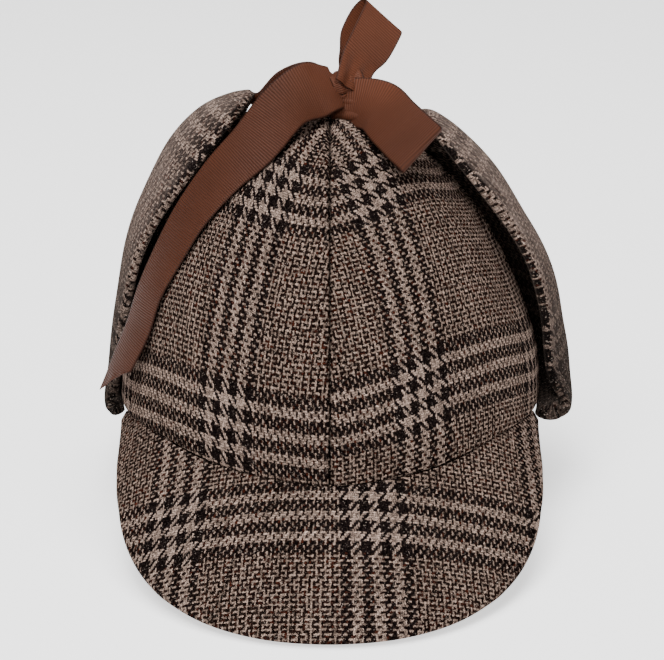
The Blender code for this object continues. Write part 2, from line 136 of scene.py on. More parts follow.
LOOP_LOWER = (
    (0.220, -0.090, 1.062, 24, 50, 0.95), (0.290, -0.195, 1.032, 24, 45, 0.98),
    (0.360, -0.285, 1.000, 24, 43, 1.00), (0.405, -0.335, 0.980, 24, 43, 1.00),
    (0.416, -0.310, 0.963, 24, 43, 1.00), (0.376, -0.248, 0.976, 24, 43, 0.97),
    (0.303, -0.160, 1.013, 24, 42, 0.88), (0.232, -0.062, 1.045, 24, 36, 0.60),
)
# the same, with x y z from the knot's centre in ribbon widths
LOOP_UPPER = (
    (0.211, 0.042, 0.416, 32, -42, 0.80), (0.411, 0.193, 0.677, 32, -42, 0.96),
    (0.592, 0.423, 0.964, 32, -42, 1.00), (0.650, 0.535, 1.090, 32, -42, 1.00),
    (0.557, 0.641, 1.075, 32, -42, 1.00), (0.388, 0.609, 0.887, 32, -42, 1.00),
    (0.196, 0.394, 0.597, 32, -42, 0.92), (0.103, 0.170, 0.391, 32, -42, 0.68),
)
# where the loops leave the knot, measured like LOOP_UPPER
LOOP_UPPER_ROOT = (0.06, -0.29, 0.03, 32, -42, 0.72)
LOOP_LOWER_START = (-0.27, -0.18, -0.25, 20, 62, 0.66)
LOOP_LOWER_ROOT = (0.13, -0.33, -0.19, 20, 62, 0.86)
LOOP_LOWER_END = (-0.26, -0.14, -0.22, 14, 62, 0.60)
# where the others leave it: turn and tilt of the direction across, and width
TAIL_LEFT_ROOT = (170, 45, 0.8)
TAIL_BACK_ROOT = (8, -2, 0.4)
LOOP_UPPER_END = (32, -42, 0.45)
TIE_END = (90, -20, 0.33)


def seam_origin():
    """The crown's plan centre at the rim's lowest level, in the frame of the solids."""
    left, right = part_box("crown_front_left"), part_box("crown_front_right")
    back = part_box("crown_back_left")
    x = (left[1].x + right[0].x) * 0.5
    y = (left[1].y + back[0].y) * 0.5
    return np.array((x, y, left[1].z - CROWN_HEIGHT))


ORIGIN = seam_origin()


# camera and light
CAMERA_RISE = math.radians(21.0)
CAMERA_AWAY = 1.1
CAMERA_LENS = 140.4
CAMERA_SENSOR = 36.0
CAMERA_NEAR = 0.05
AIM = Vector(ORIGIN) + Vector((0.00085, 0.0, 0.0276))
# what the soft lights point at, then the place, size and power of each
LIGHT_AIM = (0.0, 0.0, 0.10)
SOFT_LIGHTS = {
    "key": ((-0.30, -0.90, 1.50), 1.0, 32.0),
    "fill": ((0.90, -0.90, 0.90), 1.0, 2.5),
    "top": ((0.0, 0.10, 1.70), 1.2, 29.0),
}
# a narrow light for the bow: what it points at, and where it stands from there
ACCENT_AIM = Vector(ORIGIN) + Vector((0.020, 0.0, 0.160))
ACCENT_AWAY = Vector((0.10, -0.90, 0.55))
ACCENT_POWER = 85.0
ACCENT_CONE = math.radians(5.0)
ACCENT_BLEND = 1.0
ACCENT_SIZE = 0.01
WORLD_COLOUR = (1.0, 1.0, 1.0, 1.0)
WORLD_LIGHT = 0.2


def aim(thing, at):
    """Turn a light or camera toward a place."""
    way = Vector(at) - thing.location
    thing.rotation_euler = way.to_track_quat("-Z", "Y").to_euler()


def add_camera():
    data = bpy.data.cameras.new("camera")
    data.lens = CAMERA_LENS
    data.sensor_width = CAMERA_SENSOR
    data.clip_start = CAMERA_NEAR
    camera = bpy.data.objects.new("camera", data)
    bpy.context.scene.collection.objects.link(camera)
    away = Vector((0.0, -math.cos(CAMERA_RISE), math.sin(CAMERA_RISE)))
    camera.location = AIM + away * CAMERA_AWAY
    aim(camera, AIM)
    bpy.context.scene.camera = camera


def add_light(name, kind, place, at, power):
    """Add a light that points at a place, and give back its settings."""
    data = bpy.data.lights.new(name, kind)
    data.energy = power
    light = bpy.data.objects.new(name, data)
    bpy.context.scene.collection.objects.link(light)
    light.location = place
    aim(light, at)
    return data


def add_soft_lights():
    for name, (place, size, power) in SOFT_LIGHTS.items():
        data = add_light(name, "AREA", place, LIGHT_AIM, power)
        data.shape = "DISK"
        data.size = size


def add_accent():
    data = add_light("accent", "SPOT", ACCENT_AIM + ACCENT_AWAY, ACCENT_AIM, ACCENT_POWER)
    data.spot_size = ACCENT_CONE
    data.spot_blend = ACCENT_BLEND
    data.shadow_soft_size = ACCENT_SIZE


def add_world():
    world = bpy.data.worlds.new("studio")
    bpy.context.scene.world = world
    world.use_nodes = True
    background = world.node_tree.nodes["Background"]
    background.inputs["Color"].default_value = WORLD_COLOUR
    background.inputs["Strength"].default_value = WORLD_LIGHT


# curves and surfaces
def smooth_table(rows, at, column):
    """A column of a table, read smoothly at places of its first column."""
    rows = np.array(rows, float)
    places, values = rows[:, 0], rows[:, column]
    at = np.clip(np.asarray(at, float), places[0], places[-1])
    index = np.clip(np.searchsorted(places, at, side="right") - 1, 0, len(places) - 2)
    share = (at - places[index]) / (places[index + 1] - places[index])
    before = values[np.maximum(index - 1, 0)]
    after = values[np.minimum(index + 2, len(values) - 1)]
    return blend(before, values[index], values[index + 1], after, share)


def blend(before, start, end, after, share):
    """A Catmull-Rom curve through start and end."""
    slope_in = (end - before) * 0.5
    slope_out = (after - start) * 0.5
    square = share * share
    cube = square * share
    return (
        start * (2 * cube - 3 * square + 1) + slope_in * (cube - 2 * square + share)
        + end * (3 * square - 2 * cube) + slope_out * (cube - square)
    )


def rim_lift(azimuth):
    turned = np.abs((azimuth + 180.0) % 360.0 - 180.0)
    return RIM_WAVE * smooth_table(RIM_ROWS, turned, 1)


def plan_radius(azimuth, grow=0.0):
    side = np.sin(np.radians(azimuth))
    ahead = np.cos(np.radians(azimuth))
    half_length = np.where(ahead > 0, CROWN_FRONT, CROWN_BACK) + grow
    size = np.abs(side / (CROWN_HALF_WIDTH + grow)) ** PLAN_POWER
    size = size + np.abs(ahead / half_length) ** PLAN_POWER
    return size ** (-1.0 / PLAN_POWER)


def plan_point(azimuth, grow=0.0):
    radius = plan_radius(azimuth, grow)
    x = np.sin(np.radians(azimuth)) * radius
    y = -np.cos(np.radians(azimuth)) * radius
    return np.stack([x, y, np.zeros_like(x)], axis=-1)


def plan_outward(azimuth):
    step = 0.05
    along = plan_point(azimuth + step) - plan_point(azimuth - step)
    out = np.stack([along[..., 1], -along[..., 0], np.zeros(along.shape[:-1])], axis=-1)
    return out / np.linalg.norm(out, axis=-1, keepdims=True)


def dome_point(azimuth, rise, grow=0.0):
    azimuth, rise = np.broadcast_arrays(np.asarray(azimuth, float), np.asarray(rise, float))
    out = np.maximum(np.cos(np.radians(rise)), 0.0) ** (2.0 / PROFILE_POWER)
    up = np.maximum(np.sin(np.radians(rise)), 0.0) ** (2.0 / PROFILE_POWER)
    point = plan_point(azimuth, grow) * out[..., None]
    point[..., 2] = (CROWN_HEIGHT + grow) * up + rim_lift(azimuth) * (1.0 - up)
    return point


def normals_of(points):
    """Unit normals of a grid of points."""
    across = np.gradient(points, axis=1)
    along = np.gradient(points, axis=0)
    normal = np.cross(across, along)
    size = np.linalg.norm(normal, axis=-1, keepdims=True)
    return normal / np.maximum(size, 1e-12)


def lengths(points, axis):
    """Distance along a grid of points, in one direction, from its first row or column."""
    step = np.linalg.norm(np.diff(points, axis=axis), axis=-1)
    start = np.zeros_like(np.take(step, [0], axis=axis))
    return np.cumsum(np.concatenate([start, step], axis=axis), axis=axis)


def edge_round(distance, radius):
    """How full a sheet is at a distance from its rounded edge, from 0 to 1."""
    inside = np.clip(distance / radius, 0.0, 1.0)
    return np.sqrt(np.maximum(1.0 - (1.0 - inside) ** 2, 0.0))


END_STEPS = 7


def clustered(count, reach):
    """Places from 0 to 1 that crowd within reach of both ends."""
    edge = reach * (1.0 - np.cos(np.linspace(0.0, math.pi / 2, END_STEPS)))
    middle = np.linspace(reach, 1.0 - reach, count)
    return np.concatenate([edge[:-1], middle, 1.0 - edge[::-1][1:]])


NOISE_WAVES = 14


def noise_field(points, scale, seed):
    """Smooth repeatable noise from -1 to 1 at points, with a feature size in metres."""
    generator = np.random.default_rng(seed)
    total = np.zeros(points.shape[:-1])
    for _ in range(NOISE_WAVES):
        way = generator.normal(size=3)
        way /= np.linalg.norm(way)
        wave = generator.uniform(0.7, 1.6) / scale
        start = generator.uniform(0, 2 * math.pi)
        total += np.sin(points @ way * wave * 2 * math.pi / 2.0 + start)
    return total / math.sqrt(NOISE_WAVES)


def build_mesh(name, outer, inner, uv):
    """A closed sheet from its outer and inner grids, which meet along their borders."""
    rows, columns = outer.shape[:2]
    count = rows * columns
    grid = np.arange(count).reshape(rows, columns)
    border = np.zeros((rows, columns), bool)
    border[0], border[-1], border[:, 0], border[:, -1] = True, True, True, True
    below = np.where(border, grid, grid + count)
    vertices = np.concatenate([outer.reshape(-1, 3), inner.reshape(-1, 3)])
    used = np.ones(count * 2, bool)
    used[count:] = ~border.reshape(-1)
    number = np.cumsum(used) - 1

    def quads(index, flip):
        a, b = index[:-1, :-1], index[:-1, 1:]
        c, d = index[1:, 1:], index[1:, :-1]
        order = (a, d, c, b) if flip else (a, b, c, d)
        return np.stack(order, axis=-1).reshape(-1, 4)

    faces = np.concatenate([quads(grid, False), quads(below, True)])
    source = np.concatenate([quads(grid, False), quads(grid, True)])
    mesh = bpy.data.meshes.new(name)
    mesh.from_pydata((vertices[used] + ORIGIN).tolist(), [], number[faces].tolist())
    layer = mesh.uv_layers.new(name="UVMap")
    corners = uv.reshape(-1, 2)[source.reshape(-1)].astype(np.float32)
    layer.data.foreach_set("uv", corners.reshape(-1))
    mesh.polygons.foreach_set("use_smooth", np.ones(len(mesh.polygons), bool))
    mesh.update()
    thing = bpy.data.objects.new(name, mesh)
    bpy.context.scene.collection.objects.link(thing)
    return thing


def dress(thing, material, node):
    """Give a piece its material, hang it on the body and hide the solid of the node that it stands
    for.
    """
    thing.data.materials.append(material)
    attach(thing, BODY)
    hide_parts(node)
    return thing


# materials
class Graph:
    """Short names for building a material's nodes."""

    def __init__(self, name):
        self.material = bpy.data.materials.new(name)
        self.material.use_nodes = True
        self.tree = self.material.node_tree
        self.shader = self.tree.nodes["Principled BSDF"]

    def link(self, value, socket):
        if hasattr(value, "links"):
            self.tree.links.new(value, socket)
        else:
            socket.default_value = value

    def math(self, operation, *values):
        node = self.tree.nodes.new("ShaderNodeMath")
        node.operation = operation
        for value, socket in zip(values, node.inputs):
            self.link(value, socket)
        return node.outputs[0]

    def mix(self, share, start, end, blend_type="MIX"):
        node = self.tree.nodes.new("ShaderNodeMix")
        node.data_type = "RGBA"
        node.blend_type = blend_type
        self.link(share, node.inputs["Factor"])
        self.link(start, node.inputs["A"])
        self.link(end, node.inputs["B"])
        return node.outputs["Result"]

    def shaded(self, colour, factor):
        grey = self.combine(factor, factor, factor)
        return self.mix(1.0, colour, grey, "MULTIPLY")

    def centred_noise(self, scale, detail, size):
        noise = self.noise(scale, detail, self.place())
        return self.math("MULTIPLY", self.math("SUBTRACT", noise, 0.5), size)

    def noise(self, scale, detail, vector):
        node = self.tree.nodes.new("ShaderNodeTexNoise")
        node.inputs["Scale"].default_value = scale
        node.inputs["Detail"].default_value = detail
        self.tree.links.new(vector, node.inputs["Vector"])
        return node.outputs["Fac"]

    def hash(self, value):
        node = self.tree.nodes.new("ShaderNodeTexWhiteNoise")
        node.noise_dimensions = "1D"
        self.link(value, node.inputs["W"])
        return node.outputs["Value"]

    def uv(self):
        node = self.tree.nodes.new("ShaderNodeUVMap")
        node.uv_map = "UVMap"
        return self.split(node.outputs["UV"])[:2]

    def split(self, vector):
        node = self.tree.nodes.new("ShaderNodeSeparateXYZ")
        self.tree.links.new(vector, node.inputs[0])
        return node.outputs["X"], node.outputs["Y"], node.outputs["Z"]

    def place(self):
        return self.tree.nodes.new("ShaderNodeTexCoord").outputs["Object"]

    def combine(self, x, y, z=0.0):
        node = self.tree.nodes.new("ShaderNodeCombineXYZ")
        for value, socket in zip((x, y, z), node.inputs):
            self.link(value, socket)
        return node.outputs[0]

    def remap(self, value, low, high, to_low, to_high):
        node = self.tree.nodes.new("ShaderNodeMapRange")
        self.link(value, node.inputs["Value"])
        ends = {"From Min": low, "From Max": high, "To Min": to_low, "To Max": to_high}
        for key, number in ends.items():
            node.inputs[key].default_value = number
        return node.outputs["Result"]

    def bump(self, height, distance):
        node = self.tree.nodes.new("ShaderNodeBump")
        node.inputs["Distance"].default_value = distance
        node.inputs["Strength"].default_value = 1.0
        self.tree.links.new(height, node.inputs["Height"])
        return node.outputs["Normal"]


# how the threads repeat: their pitch in metres, then threads in a repeat, in its cluster of wide
# stripes, in one of its dark stripes and in one of its light stripes
Threads = namedtuple("Threads", "pitch repeat cluster dark light")
WARP = Threads(0.745 * MM, 104.0, 35.0, 5.0, 5.0)
WEFT = Threads(1.015 * MM, 92.0, 32.0, 5.0, 4.0)
# the twill goes over and under two threads in four
TWILL_REPEAT = 4.0
TWILL_OVER = 1.5
# between the clusters it turns back after so many picks, and starts anew in each block, with the
# blocks in a thread and numbers that tell the blocks apart
TWILL_TURN = 2.0
WARP_BLOCKS, WARP_BLOCK_SEED = 0.15, 3.3
WEFT_BLOCKS, WEFT_BLOCK_SEED = 0.19, 11.9
# how far the threads swing aside, in threads: in slow waves, and within a stitch
SWING_SCALE, SWING = 180.0, 0.6
SHIVER_SCALE, SHIVER = 1300.0, 1.9
WEFT_SWING = -0.7
FIBRE_SCALE = 2600.0
PLY_TURNS = 12.6
TWEED_BUMP = 0.34 * MM
TWEED_SPECULAR = 0.02
TWEED_IOR = 1.04
TWEED_SHEEN_ROUGHNESS = 0.55
TWEED_SHEEN_TINT = (1.0, 0.90, 0.82, 1.0)
# yarns of the check inside and outside the clusters, and loose wool on top of them
LIGHT_YARN = (0.268, 0.192, 0.156, 1.0)
DULL_YARN = (0.204, 0.144, 0.115, 1.0)
DARK_YARN = (0.0070, 0.0045, 0.0044, 1.0)
BROWN_YARN = (0.0090, 0.0045, 0.0036, 1.0)
RUST_YARN = (0.034, 0.0080, 0.0042, 1.0)
HAIR = (0.120, 0.082, 0.060, 1.0)
FLECK = (0.36, 0.29, 0.25, 1.0)
# streaks of brushed wool whose pale tone is painted sheen, on the flaps' cloth that faces sideways
BRUSHED_SHEEN_LOW = (0.040, 0.026, 0.021, 1.0)
BRUSHED_SHEEN_HIGH = (0.270, 0.203, 0.174, 1.0)
# the weft threads where the flap's painted light starts and where it is full, and how much painted
# sheen and how much brightness under painted shade it has at its fold
PAINTED_LIGHT_START, PAINTED_LIGHT_END = 78.0, 159.0
FOLD_PAINTED_SHEEN = 0.15
FOLD_SHADED_BRIGHTNESS = 0.18
# painted shade along the crown's seam grooves: how dark, from this far to that far off their middle
SEAM_SHADE = 0.40
SEAM_DARK = 0.25 * MM
SEAM_LIGHT = 0.80 * MM


def swing_threads(g, u, v):
    """The thread counts, with the threads' small swings to the side added."""
    swing = g.math(
        "ADD", g.centred_noise(SWING_SCALE, 2.0, SWING), g.centred_noise(SHIVER_SCALE, 1.0, SHIVER)
    )
    return g.math("ADD", u, swing), g.math("ADD", v, g.math("MULTIPLY", swing, WEFT_SWING))


def is_dark(g, threads, thread):
    """Whether a thread is dark, and whether it lies in a cluster of wide stripes."""
    place = g.math("FLOORED_MODULO", g.math("ADD", thread, 0.5), threads.repeat)
    cluster = g.math("LESS_THAN", place, threads.cluster)
    stripe = g.math("FLOORED_MODULO", place, threads.dark + threads.light)
    stripe = g.math("LESS_THAN", stripe, threads.dark)
    single = g.math("LESS_THAN", g.math("FLOORED_MODULO", place, 2.0), 1.0)
    wide = g.math("MULTIPLY", cluster, g.math("SUBTRACT", stripe, single))
    return g.math("ADD", single, wide), cluster


def warp_on_top(g, warp, weft, plain):
    """Where the warp crosses over the weft, in a twill that is unbroken where it is plain."""
    warp_block = g.math("FLOOR", g.math("MULTIPLY", warp, WARP_BLOCKS))
    weft_block = g.math("FLOOR", g.math("MULTIPLY", weft, WEFT_BLOCKS))
    block = g.math(
        "ADD", g.math("MULTIPLY", warp_block, WARP_BLOCK_SEED),
        g.math("MULTIPLY", weft_block, WEFT_BLOCK_SEED),
    )
    start = g.math("FLOOR", g.math("MULTIPLY", g.hash(block), TWILL_REPEAT))
    turned = g.math("FLOORED_MODULO", g.math("ADD", weft, start), TWILL_TURN * 2.0)
    turned = g.math("ABSOLUTE", g.math("SUBTRACT", turned, TWILL_TURN))
    turned = g.math("ADD", turned, start)
    slip = g.math("ADD", turned, g.math("MULTIPLY", plain, g.math("SUBTRACT", weft, turned)))
    place = g.math("FLOORED_MODULO", g.math("ADD", warp, slip), TWILL_REPEAT)
    return g.math("LESS_THAN", place, TWILL_OVER)


def yarn_colour(g, dark, cluster, tuft):
    """The colour of the thread on top, with rust in some of the brown."""
    heather = g.math("ADD", g.noise(420.0, 3.0, g.place()), g.math("MULTIPLY", tuft, 0.16))
    brown = g.mix(g.remap(heather, 0.62, 0.74, 0.0, 0.9), BROWN_YARN, RUST_YARN)
    dark_colour = g.mix(cluster, brown, DARK_YARN)
    light_colour = g.mix(cluster, DULL_YARN, LIGHT_YARN)
    return g.mix(dark, light_colour, dark_colour)


def thread_shade(g, swell, chance, tuft, fibre):
    """How bright the cloth is: painted shade between threads, and uneven by thread, tuft and fibre.
    """
    patch = g.noise(55.0, 3.0, g.place())
    shade = g.remap(g.math("POWER", swell, 1.7), 0.05, 0.95, 0.30, 1.12)
    shade = g.math("ADD", shade, g.remap(chance, 0.0, 1.0, -0.10, 0.10))
    shade = g.math("MULTIPLY", shade, g.remap(tuft, 0.0, 1.0, 0.45, 1.50))
    shade = g.math("MULTIPLY", shade, g.remap(fibre, 0.3, 0.7, 0.50, 1.46))
    return g.math("ADD", shade, g.remap(patch, 0.3, 0.7, -0.05, 0.05))


def paint_flap_sheen_and_shade(g, colour, u, v, painted_sheen):
    """Fade the check into painted sheen streaks down the flap on sideways-facing cloth; paint shade
    at the fold.
    """
    streak = g.noise(1.0, 3.0, g.combine(g.math("MULTIPLY", u, 0.9), g.math("MULTIPLY", v, 0.07)))
    brushed = g.mix(g.remap(streak, 0.32, 0.68, 0.0, 1.0), BRUSHED_SHEEN_LOW, BRUSHED_SHEEN_HIGH)
    low = g.remap(v, PAINTED_LIGHT_START, PAINTED_LIGHT_END, 0.0, 1.0)
    _, ahead, _ = g.split(g.tree.nodes.new("ShaderNodeNewGeometry").outputs["Normal"])
    outward = g.remap(g.math("ABSOLUTE", ahead), 0.45, 0.80, 1.0, 0.0)
    # painted sheen: pale streaks on cloth that faces sideways, more of them away from the fold
    painted_sheen_share = g.math("MULTIPLY", outward, g.remap(low, 0.0, 1.0, FOLD_PAINTED_SHEEN, painted_sheen))
    colour = g.mix(painted_sheen_share, colour, brushed)
    # painted shade: the flap grows darker towards its fold
    return g.shaded(colour, g.remap(low, 0.0, 1.0, FOLD_SHADED_BRIGHTNESS, 1.0))


def shade_seams(g, colour):
    """Paint shade on the crown along its seam grooves, which lie over the middle of the plan."""
    x, y, _ = g.split(g.place())
    off_x = g.math("ABSOLUTE", g.math("SUBTRACT", x, ORIGIN[0]))
    off_y = g.math("ABSOLUTE", g.math("SUBTRACT", y, ORIGIN[1]))
    nearest = g.math("MINIMUM", off_x, off_y)
    return g.shaded(colour, g.remap(nearest, SEAM_DARK, SEAM_LIGHT, SEAM_SHADE, 1.0))


def loose_wool(g, colour):
    """Lay loose hairs and flecks over the threads."""
    hair = g.noise(1900.0, 4.0, g.place())
    colour = g.mix(g.remap(hair, 0.56, 0.76, 0.0, 0.34), colour, HAIR)
    fleck = g.noise(1150.0, 2.0, g.place())
    return g.mix(g.remap(fleck, 0.64, 0.74, 0.0, 0.75), colour, FLECK)


def tweed(name, sheen=0.0, painted_sheen=0.0, seams=False):
    """A wool 2/2 twill in a glen check. UV counts warp and weft threads.

    Painted sheen is how far the check fades into pale streaks that run along the warp and stand for
    sheen; with it comes painted shade towards the fold.
    """
    g = Graph(name)
    u, v = swing_threads(g, *g.uv())
    warp, weft = g.math("FLOOR", u), g.math("FLOOR", v)
    across_warp, across_weft = g.math("FRACT", u), g.math("FRACT", v)
    warp_dark, warp_cluster = is_dark(g, WARP, warp)
    weft_dark, weft_cluster = is_dark(g, WEFT, weft)
    over = warp_on_top(g, warp, weft, g.math("MAXIMUM", warp_cluster, weft_cluster))

    def pick(of_weft, of_warp):
        return g.math("ADD", of_weft, g.math("MULTIPLY", over, g.math("SUBTRACT", of_warp, of_weft)))

    chance = pick(g.hash(g.math("ADD", weft, 0.37)), g.hash(g.math("ADD", warp, 777.13)))
    tuft = g.hash(g.math("ADD", g.math("MULTIPLY", warp, 17.31), g.math("MULTIPLY", weft, 5.77)))
    across = pick(across_weft, across_warp)
    along = pick(across_warp, across_weft)
    centred = g.math("SUBTRACT", g.math("MULTIPLY", across, 2.0), 1.0)
    swell = g.math("SUBTRACT", 1.0, g.math("MULTIPLY", centred, centred))
    twist = g.math("ADD", along, g.math("MULTIPLY", across, 0.8))
    plies = g.math("SINE", g.math("MULTIPLY", twist, PLY_TURNS))
    fibre = g.noise(FIBRE_SCALE, 3.0, g.place())

    dark = pick(weft_dark, warp_dark)
    cluster = pick(weft_cluster, warp_cluster)
    colour = yarn_colour(g, dark, cluster, tuft)
    colour = g.shaded(colour, thread_shade(g, swell, chance, tuft, fibre))
    # painted sheen and painted shade on the flaps
    if painted_sheen:
        colour = paint_flap_sheen_and_shade(g, colour, u, v, painted_sheen)
    # painted shade along the crown's seams
    if seams:
        colour = shade_seams(g, colour)
    g.link(loose_wool(g, colour), g.shader.inputs["Base Color"])
    height = g.math("ADD", g.math("MULTIPLY", swell, 0.75), g.math("MULTIPLY", plies, 0.05))
    height = g.math("ADD", height, g.math("MULTIPLY", fibre, 0.35))
    g.link(g.bump(height, TWEED_BUMP), g.shader.inputs["Normal"])
    g.link(g.remap(fibre, 0.3, 0.7, 0.86, 0.98), g.shader.inputs["Roughness"])
    g.shader.inputs["Specular IOR Level"].default_value = TWEED_SPECULAR
    g.shader.inputs["IOR"].default_value = TWEED_IOR
    g.shader.inputs["Sheen Weight"].default_value = sheen
    g.shader.inputs["Sheen Roughness"].default_value = TWEED_SHEEN_ROUGHNESS
    g.shader.inputs["Sheen Tint"].default_value = TWEED_SHEEN_TINT
    return g.material


RIBBON_BROWN = (0.054, 0.0168, 0.0082, 1.0)
RIB_PITCH = 1.0 * MM
RIBBON_THREAD = 0.30 * MM
# the selvage fades out between these distances from the ribbon's edge, and is this bright
SELVAGE_IN, SELVAGE_OUT = 0.4 * MM, 1.0 * MM
SELVAGE_SHADE = 0.45
RIBBON_BUMP = 0.16 * MM
RIBBON_SPECULAR = 0.30
RIBBON_IOR = 1.25
RIBBON_SHEEN = 0.005
RIBBON_SHEEN_ROUGHNESS = 0.4


def grosgrain(name):
    """A ribbed ribbon. UV is metres across and along it."""
    g = Graph(name)
    u, v = g.uv()
    rib = g.math("ABSOLUTE", g.math("SINE", g.math("MULTIPLY", v, math.pi / RIB_PITCH)))
    thread = g.math("SINE", g.math("MULTIPLY", u, 2.0 * math.pi / RIBBON_THREAD))
    edge = g.math("SUBTRACT", RIBBON_WIDTH * 0.5, g.math("ABSOLUTE", u))
    selvage = g.remap(edge, SELVAGE_IN, SELVAGE_OUT, 1.0, 0.0)
    patch = g.noise(70.0, 3.0, g.place())
    # painted shade in the valleys between the ribs, with patchy tone on top
    shade = g.math("ADD", g.remap(rib, 0.0, 1.0, 0.55, 1.14), g.remap(patch, 0.3, 0.7, -0.07, 0.07))
    shade = g.math("ADD", shade, g.math("MULTIPLY", thread, 0.03))
    shade = g.math("MULTIPLY", shade, g.remap(selvage, 0.0, 1.0, 1.0, SELVAGE_SHADE))
    g.link(g.shaded(RIBBON_BROWN, shade), g.shader.inputs["Base Color"])
    height = g.math("ADD", g.math("POWER", rib, 0.7), g.math("MULTIPLY", thread, 0.05))
    height = g.math("ADD", height, g.math("MULTIPLY", selvage, -0.3))
    g.link(g.bump(height, RIBBON_BUMP), g.shader.inputs["Normal"])
    g.link(g.remap(rib, 0.0, 1.0, 0.62, 0.46), g.shader.inputs["Roughness"])
    g.shader.inputs["Specular IOR Level"].default_value = RIBBON_SPECULAR
    g.shader.inputs["IOR"].default_value = RIBBON_IOR
    g.shader.inputs["Sheen Weight"].default_value = RIBBON_SHEEN
    g.shader.inputs["Sheen Roughness"].default_value = RIBBON_SHEEN_ROUGHNESS
    return g.material


# crown

# How the check lies on each panel: the azimuth of the middle light stripe, its distance from there
# at the rim and how much that grows up the crown, the heights of the low band's middle at four
# places across the panel, and how far the band's threads are spread. Lengths are metres.
Cut = namedtuple("Cut", "azimuth offset slope band spread")
BAND_PLACES = (0.0, 32.0, 65.0, 90.0)
PANELS = {
    "crown_front_left": Cut(-30.0, 0.0070, -0.072, (0.0190, 0.0185, 0.0140, 0.0110), 1.035),
    "crown_front_right": Cut(30.0, -0.0116, 0.045, (0.0270, 0.0330, 0.0265, 0.0210), 0.95),
    "crown_back_left": Cut(-150.0, 0.0030, 0.0, (0.0240, 0.0280, 0.0240, 0.0190), 1.0),
    "crown_back_right": Cut(150.0, -0.0040, 0.0, (0.0210, 0.0250, 0.0210, 0.0180), 1.0),
}
PANEL_COLUMNS, PANEL_ROWS = 70, 80
PANEL_TOP = 89.2
# the groove at a seam: half its width, its depth and how steep it opens, then the same at the rim
SEAM_ROUND = 1.6 * MM
SEAM_DEPTH = 0.9
SEAM_OPEN = 0.6
RIM_ROUND = 1.2 * MM
RIM_DEPTH = 0.42
# how far neighbours may cross the seam's plane, and how far their grids do, in degrees
SEAM_TOUCH = -0.12 * MM
SEAM_LAP = 0.07
# the cloth stands up beside a seam: how much, how far from it and how wide
PUFF, PUFF_PLACE, PUFF_REACH = 0.5 * MM, 4.0 * MM, 3.0 * MM
# soft dents: depth, size, seed and how far above the rim they are full
DENT, DENT_SIZE, DENT_SEED, DENT_RISE = 0.55 * MM, 0.045, 11, 0.02


def crown_panel(name, material):
    cut = PANELS[name]
    side = -1 if cut.azimuth < 0 else 1
    depth = -1 if abs(cut.azimuth) < 90 else 1
    quarter = (0.0, 90.0) if depth < 0 else (90.0, 180.0)
    share = clustered(PANEL_COLUMNS, 0.03)
    azimuth = quarter[0] - SEAM_LAP + share * (quarter[1] - quarter[0] + 2.0 * SEAM_LAP)
    azimuth = azimuth * side
    if side < 0:
        azimuth = azimuth[::-1]
    rise = PANEL_TOP * clustered(PANEL_ROWS, 0.02)
    surface = dome_point(azimuth[None, :], rise[:, None])
    normal = -normals_of(surface)
    if normal[5, 20] @ surface[5, 20] < 0:
        normal = -normal
    climb = lengths(surface, 0)
    radius = np.linalg.norm(surface[..., :2], axis=-1)
    width = radius * np.radians(np.abs(azimuth - azimuth[0]))[None, :]
    other = radius * np.radians(np.abs(azimuth - azimuth[-1]))[None, :]
    from_seam = np.minimum(width, other)
    full = 1.0 - SEAM_DEPTH * (1.0 - edge_round(from_seam, SEAM_ROUND)) ** SEAM_OPEN
    full = full * (1.0 - RIM_DEPTH * (1.0 - edge_round(climb, RIM_ROUND)))
    full[0], full[-1], full[:, 0], full[:, -1] = 0.0, 0.0, 0.0, 0.0
    puff = PUFF * np.exp(-((from_seam - PUFF_PLACE) / PUFF_REACH) ** 2)
    dent = DENT * noise_field(surface, DENT_SIZE, DENT_SEED) * np.clip(climb / DENT_RISE, 0.0, 1.0)
    outer = surface + normal * (dent + puff)[..., None]
    inner = surface - normal * CROWN_WALL + normal * dent[..., None]
    outer = inner + (outer - inner) * full[..., None]
    for grid in (outer, inner):
        grid[..., 0] = side * np.maximum(side * grid[..., 0], SEAM_TOUCH)
        grid[..., 1] = depth * np.maximum(depth * grid[..., 1], SEAM_TOUCH)
    from_front = np.abs(azimuth) if depth < 0 else 180.0 - np.abs(azimuth)
    band = np.interp(from_front, BAND_PLACES, cut.band)[None, :]
    stripe = radius * np.radians(azimuth[None, :] - cut.azimuth) - cut.offset - cut.slope * climb
    u = stripe / WARP.pitch + WARP.cluster * 0.5
    v = (climb - band) / (WEFT.pitch * cut.spread) + WEFT.cluster * 0.5
    thing = build_mesh(name + "_cloth", outer, inner, np.stack([u, v], axis=-1))
    return dress(thing, material, name)


# peaks
PEAK_DROOP = math.radians(38.0)
# where the check's middle stripe and middle band cross the peak, in metres
PEAK_STRIPE = 0.0165
PEAK_BAND = 0.0130
PEAK_ROUND = 1.7 * MM
PEAK_COLUMNS, PEAK_STEPS = 120, 34
PEAK_DENT, PEAK_DENT_SIZE, PEAK_DENT_SEED = 0.25 * MM, 0.05, 5


